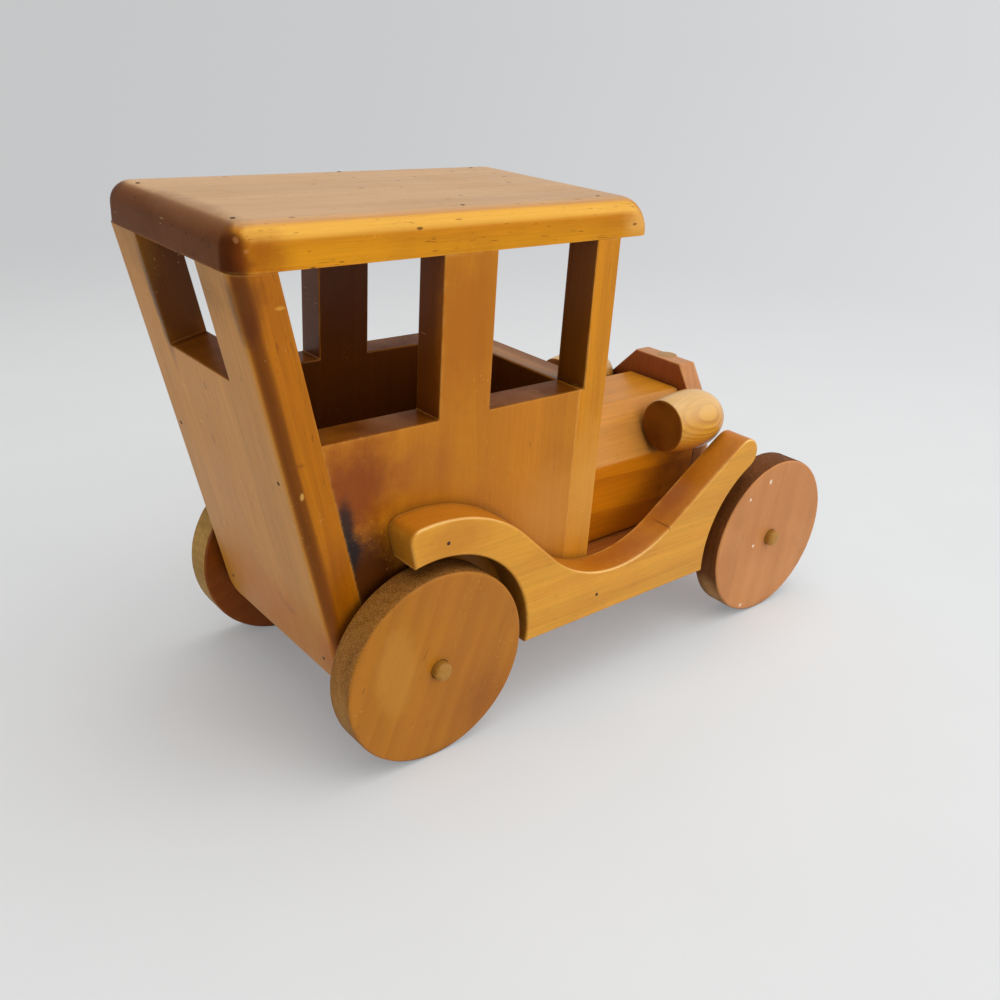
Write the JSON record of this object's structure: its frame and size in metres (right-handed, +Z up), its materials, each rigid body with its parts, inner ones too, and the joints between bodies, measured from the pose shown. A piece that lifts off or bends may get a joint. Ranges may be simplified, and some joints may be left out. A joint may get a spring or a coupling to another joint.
{
  "type": "wooden toy car",
  "caption": "Old-fashioned closed toy car in varnished pine: boxy cab with open windows, leaning back, slant-cheeked hood, round headlights, one-piece fenders and disc wheels on dowel axles.",
  "frame": {"origin": "on the floor, under the middle of the overall length and width", "axes": "+X is the way the car drives, +Y is its left side, +Z is up"},
  "size_m": [0.4086, 0.1814, 0.2693],
  "materials": {
    "roof_pine": "satin varnish over pine, worn to a soft sheen on top",
    "back_pine": "satin varnish over pine",
    "body_pine": "satin varnish over honey-coloured pine",
    "side_pine": "satin varnish over orange-brown pine",
    "floor_pine": "thin varnish over pine",
    "fender_pine": "satin varnish over golden pine",
    "radiator_wood": "satin varnish over red-brown wood",
    "lamp_pine": "satin varnish over pale turned pine",
    "dowel_wood": "bare pale dowel",
    "wheel_wood": "thin varnish over red-brown pine, rims rough"
  },
  "bodies": {
    "car_body": {"roof": "roof_pine", "back_panel": "back_pine", "front_panel": "body_pine", "floor_board": "floor_pine", "hood": "body_pine", "radiator": "radiator_wood", "radiator_cap_peg": "dowel_wood", "side_panel_right": "side_pine", "side_panel_left": "side_pine", "fender_right": "fender_pine", "fender_left": "fender_pine", "headlight_right": "lamp_pine", "headlight_left": "lamp_pine", "headlight_peg_right": "dowel_wood", "headlight_peg_left": "dowel_wood"},
    "rear_axle_set": {"axle_rear": "dowel_wood", "wheel_rear_right": "wheel_wood", "wheel_rear_left": "wheel_wood"},
    "front_axle_set": {"axle_front": "dowel_wood", "wheel_front_right": "wheel_wood", "wheel_front_left": "wheel_wood"}
  },
  "joints": [
    {"name": "rear_axle_roll", "type": "hinge", "parent": "car_body", "child": "rear_axle_set", "pos_m": [-0.11424, 0, 0.0525], "axis": [0, 1, 0], "continuous": true},
    {"name": "front_axle_roll", "type": "hinge", "parent": "car_body", "child": "front_axle_set", "pos_m": [0.15176, 0, 0.0525], "axis": [0, 1, 0], "continuous": true}
  ]
}
